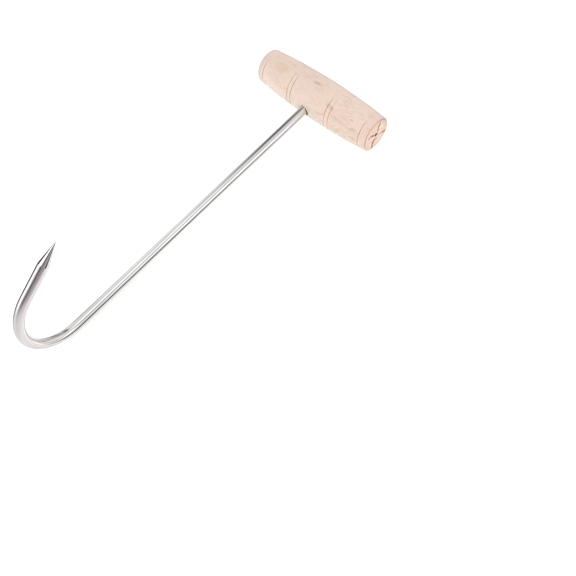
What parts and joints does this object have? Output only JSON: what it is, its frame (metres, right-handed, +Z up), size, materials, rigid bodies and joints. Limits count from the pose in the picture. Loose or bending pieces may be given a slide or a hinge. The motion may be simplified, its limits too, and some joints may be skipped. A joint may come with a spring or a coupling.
{
  "type": "meat hook",
  "caption": "Hand-held meat hook: a straight round steel rod bent up into a pointed J, fastened through the middle of a turned wooden T-handle.",
  "frame": {"origin": "middle of the handle's length, on the handle's turned axis", "axes": "+X along the handle towards the end with the lathe drive mark; the rod leaves the handle towards -Y, sloping down 2.95 degrees; +Z up, as the hook lies on a table on the handle's belly and the start of the bend, with its point up. The table is at z = -13.9 mm."},
  "size_m": [0.095, 0.2512, 0.0719],
  "materials": {
    "wood": "raw turned wood, sanded, no varnish",
    "steel": "polished stainless rod, fine marks along its length, ground point",
    "plated_steel": "bright zinc-plated hardware"
  },
  "bodies": {
    "root": {"handle": "wood", "hook_rod": "steel", "washer": "plated_steel", "nut": "plated_steel"}
  },
  "joints": []
}
